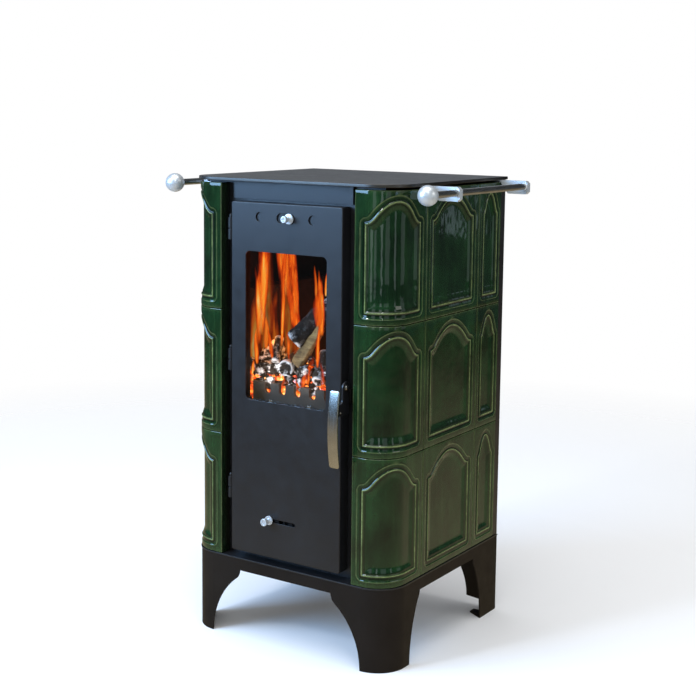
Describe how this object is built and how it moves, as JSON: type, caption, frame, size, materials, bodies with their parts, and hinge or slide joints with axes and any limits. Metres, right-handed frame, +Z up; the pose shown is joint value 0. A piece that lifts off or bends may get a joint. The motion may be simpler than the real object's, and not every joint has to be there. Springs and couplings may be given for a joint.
{
  "type": "wood burning stove",
  "caption": "Free-standing wood stove with a green ceramic tile jacket, glazed steel fire door, sliding air controls, flat hob top, side towel rails and an arched plinth.",
  "frame": {"origin": "on the floor, at the middle of the stove's overall width and depth", "axes": "+Z up; -Y is the front, where the door is; +X is on the right when facing the door"},
  "size_m": [0.63, 0.513, 0.9278],
  "materials": {
    "green_glaze": "glossy transparent bottle-green glaze, lighter on raised edges",
    "body_paint": "matt anthracite stove paint",
    "plinth_paint": "matt brown-black paint",
    "hob_steel": "satin darkened steel",
    "raw_steel": "dull uncoated steel",
    "handle_steel": "brushed stainless steel",
    "nickel": "satin nickel plate",
    "cast_iron": "sooty cast iron",
    "fireclay": "sooted fireclay",
    "door_glass": "clear ceramic glass",
    "rope_seal": "glass fibre rope"
  },
  "bodies": {
    "root": {"tile_corner_left_bottom": "green_glaze", "tile_corner_left_middle": "green_glaze", "tile_corner_left_top": "green_glaze", "tile_centre_left_bottom": "green_glaze", "tile_centre_left_middle": "green_glaze", "tile_centre_left_top": "green_glaze", "tile_rear_left_bottom": "green_glaze", "tile_rear_left_middle": "green_glaze", "tile_rear_left_top": "green_glaze", "tile_corner_right_bottom": "green_glaze", "tile_corner_right_middle": "green_glaze", "tile_corner_right_top": "green_glaze", "tile_centre_right_bottom": "green_glaze", "tile_centre_right_middle": "green_glaze", "tile_centre_right_top": "green_glaze", "tile_rear_right_bottom": "green_glaze", "tile_rear_right_middle": "green_glaze", "tile_rear_right_top": "green_glaze", "plinth_skirt": "plinth_paint", "plinth_back": "plinth_paint", "floor_plate": "body_paint", "top_plate": "hob_steel", "front_frame": "body_paint", "firebox_shell": "raw_steel", "back_panel": "body_paint", "flue_collar": "body_paint", "ash_floor": "raw_steel", "grate_bed": "cast_iron", "grate": "cast_iron", "log_guard": "cast_iron", "firebrick_left": "fireclay", "firebrick_right": "fireclay", "firebrick_back": "fireclay", "baffle": "cast_iron", "ash_pan": "raw_steel", "latch_keeper": "raw_steel", "hinge_post_bottom": "body_paint", "hinge_post_middle": "body_paint", "hinge_post_top": "body_paint", "rail_ball_left": "nickel", "rail_rod_left": "nickel", "rail_ball_right": "nickel", "rail_rod_right": "nickel", "rail_bracket_left_front": "nickel", "rail_bracket_left_rear": "nickel", "rail_bracket_right_front": "nickel", "rail_bracket_right_rear": "nickel"},
    "door": {"door_skin": "body_paint", "door_inner_frame": "raw_steel", "door_glass": "door_glass", "door_gasket": "rope_seal", "hinge_knuckle_bottom": "body_paint", "hinge_knuckle_middle": "body_paint", "hinge_knuckle_top": "body_paint"},
    "handle": {"handle_lever": "body_paint", "handle_grip": "handle_steel"},
    "upper_air": {"upper_air_slide": "body_paint", "upper_air_knob": "nickel"},
    "lower_air": {"lower_air_slide": "body_paint", "lower_air_knob": "nickel"}
  },
  "joints": [
    {"name": "door_hinge", "type": "hinge", "parent": "root", "child": "door", "pos_m": [-0.1385, -0.21, 0.531], "axis": [0, 0, -1], "range_deg": [0, 110]},
    {"name": "handle_lift", "type": "hinge", "parent": "door", "child": "handle", "pos_m": [0.1363, -0.212, 0.543], "axis": [-1, 0, 0], "range_deg": [0, 45]},
    {"name": "upper_air", "type": "slide", "parent": "door", "child": "upper_air", "axis": [-1, 0, 0], "range_m": [0, 0.018]},
    {"name": "lower_air", "type": "slide", "parent": "door", "child": "lower_air", "axis": [1, 0, 0], "range_m": [0, 0.056]}
  ]
}
